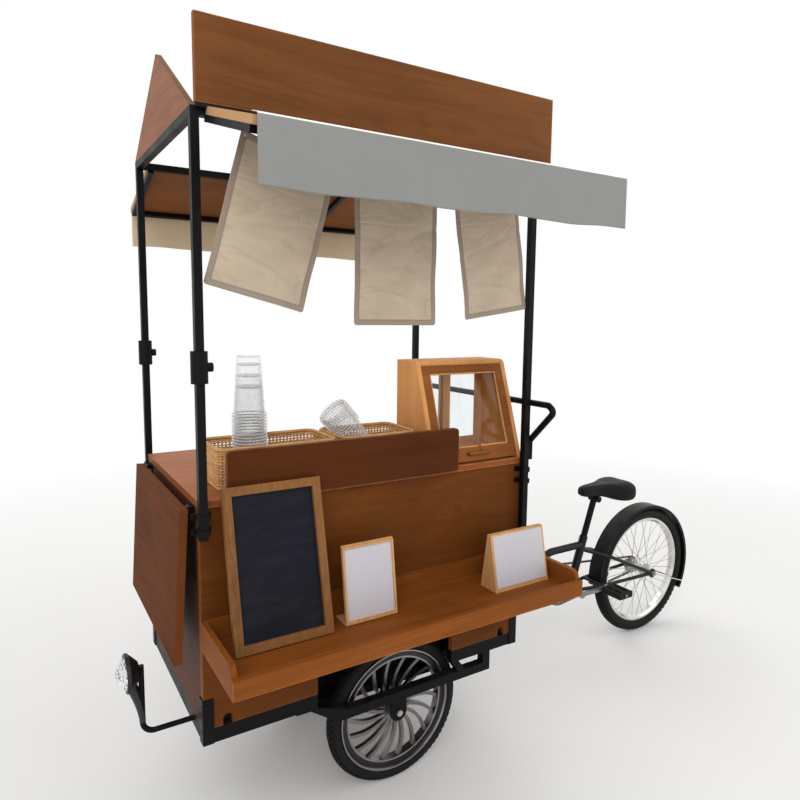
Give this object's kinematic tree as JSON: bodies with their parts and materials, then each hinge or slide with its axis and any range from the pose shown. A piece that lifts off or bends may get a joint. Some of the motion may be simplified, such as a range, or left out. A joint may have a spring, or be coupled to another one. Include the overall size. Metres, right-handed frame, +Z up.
{
  "type": "bicycle food cart",
  "caption": "Wooden street-vending cart with canopy, serving tray, drop leaf and display case on two front wheels, steered and pedalled from a half bicycle behind.",
  "frame": {"origin": "middle of the bounding box at ground level", "axes": "+X towards the bicycle, -Y the serving side, +Z up"},
  "size_m": [2.5445, 1.328, 2.097],
  "materials": {
    "black_steel": "satin black paint",
    "bright_steel": "plain steel",
    "chrome": "plated",
    "walnut_ply": "stained plywood, oiled",
    "orange_ply": "stained plywood, oiled",
    "counter_ply": "sanded plywood",
    "sign_ply": "stained plywood",
    "gable_ply": "weathered plywood",
    "light_ply": "clear lacquered wood",
    "wicker": "woven cane",
    "canvas": "plain canvas",
    "linen": "plain linen",
    "clear_glass": "clear",
    "brass": "worn",
    "paper": "paper board",
    "slate": "matt blackboard",
    "black_plastic": "moulded",
    "alloy": "cast",
    "tyre": "rubber",
    "saddle_cover": "padded cover",
    "pedal_rubber": "moulded"
  },
  "bodies": {
    "cart": {"base_frame": "black_steel", "cart_pins": "bright_steel", "floor_board": "orange_ply", "serving_panel": "walnut_ply", "lamp_end_panel": "walnut_ply", "bike_end_panel": "walnut_ply", "vendor_skirt": "walnut_ply", "inner_shelf": "orange_ply", "counter_top": "counter_ply", "rail_board": "walnut_ply", "tray_bottom": "orange_ply", "tray_walls": "walnut_ply", "posts": "black_steel", "steel_fittings": "black_steel", "roof_frame": "black_steel", "eave_boards": "sign_ply", "front_sign": "sign_ply", "gables": "gable_ply", "serving_valance": "canvas", "vendor_valance": "canvas", "lamp_end_banner": "linen", "middle_banner": "linen", "bike_end_banner": "linen", "push_handle": "black_steel", "cabinet_case": "light_ply", "cabinet_front": "walnut_ply", "cabinet_front_glass": "clear_glass", "cabinet_pull": "brass", "baskets": "wicker", "cups": "paper", "chalkboard_frame": "light_ply", "chalkboard_panel": "slate", "card_holder": "light_ply", "wedge_card_holder": "light_ply", "lamp_arm": "black_steel", "lamp_shell": "black_plastic", "lamp_lens": "clear_glass"},
    "leaf": {"drop_leaf": "walnut_ply", "leaf_arms": "black_steel"},
    "left_slider": {"left_door": "light_ply", "left_pane": "clear_glass"},
    "right_slider": {"right_door": "light_ply", "right_pane": "clear_glass"},
    "serving_side_wheel": {"serving_wheel": "alloy", "serving_tyre": "tyre"},
    "vendor_side_wheel": {"vendor_wheel": "alloy", "vendor_tyre": "tyre"},
    "bicycle": {"bike_frame": "black_steel", "mudguard": "black_plastic", "mudguard_stays": "chrome", "drive_axle": "bright_steel", "chain": "bright_steel"},
    "seat": {"seat_post": "chrome", "saddle": "saddle_cover"},
    "drive_wheel": {"drive_tyre": "tyre", "drive_rim": "chrome", "drive_hub": "bright_steel"},
    "cranks": {"crank_set": "bright_steel"},
    "pedal_near": {"near_pedal": "pedal_rubber"},
    "pedal_far": {"far_pedal": "pedal_rubber"}
  },
  "joints": [
    {"name": "leaf_swing", "type": "hinge", "parent": "cart", "child": "leaf", "pos_m": [-1.10025, 0, 0.947], "axis": [0, 1, 0], "range_deg": [0, 86.5]},
    {"name": "left_door_slide", "type": "slide", "parent": "cart", "child": "left_slider", "axis": [1, 0, 0], "range_m": [0, 0.141]},
    {"name": "right_door_slide", "type": "slide", "parent": "cart", "child": "right_slider", "axis": [1, 0, 0], "range_m": [-0.141, 0]},
    {"name": "serving_wheel_spin", "type": "hinge", "parent": "cart", "child": "serving_side_wheel", "pos_m": [-0.49725, -0.249, 0.2245], "axis": [0, 1, 0], "continuous": true},
    {"name": "vendor_wheel_spin", "type": "hinge", "parent": "cart", "child": "vendor_side_wheel", "pos_m": [-0.49725, 0.249, 0.2245], "axis": [0, 1, 0], "continuous": true},
    {"name": "steering", "type": "hinge", "parent": "cart", "child": "bicycle", "pos_m": [0.02675, 0, 0.342], "axis": [0, 0, 1], "range_deg": [-40, 40]},
    {"name": "saddle_height", "type": "slide", "parent": "bicycle", "child": "seat", "axis": [0.3206, 0, 0.9472], "range_m": [-0.03, 0.06]},
    {"name": "drive_spin", "type": "hinge", "parent": "bicycle", "child": "drive_wheel", "pos_m": [0.97375, 0, 0.2855], "axis": [0, 1, 0], "continuous": true},
    {"name": "crank_spin", "type": "hinge", "parent": "bicycle", "child": "cranks", "pos_m": [0.52375, 0, 0.2855], "axis": [0, 1, 0], "continuous": true},
    {"name": "near_pedal_spin", "type": "hinge", "parent": "cranks", "child": "pedal_near", "pos_m": [0.67375, -0.1, 0.2855], "axis": [0, 1, 0], "continuous": true},
    {"name": "far_pedal_spin", "type": "hinge", "parent": "cranks", "child": "pedal_far", "pos_m": [0.37375, 0.1, 0.2855], "axis": [0, 1, 0], "continuous": true}
  ],
  "couplings": [
    {"joint": "crank_spin", "follows": "drive_spin", "ratio": 0.40909}
  ]
}
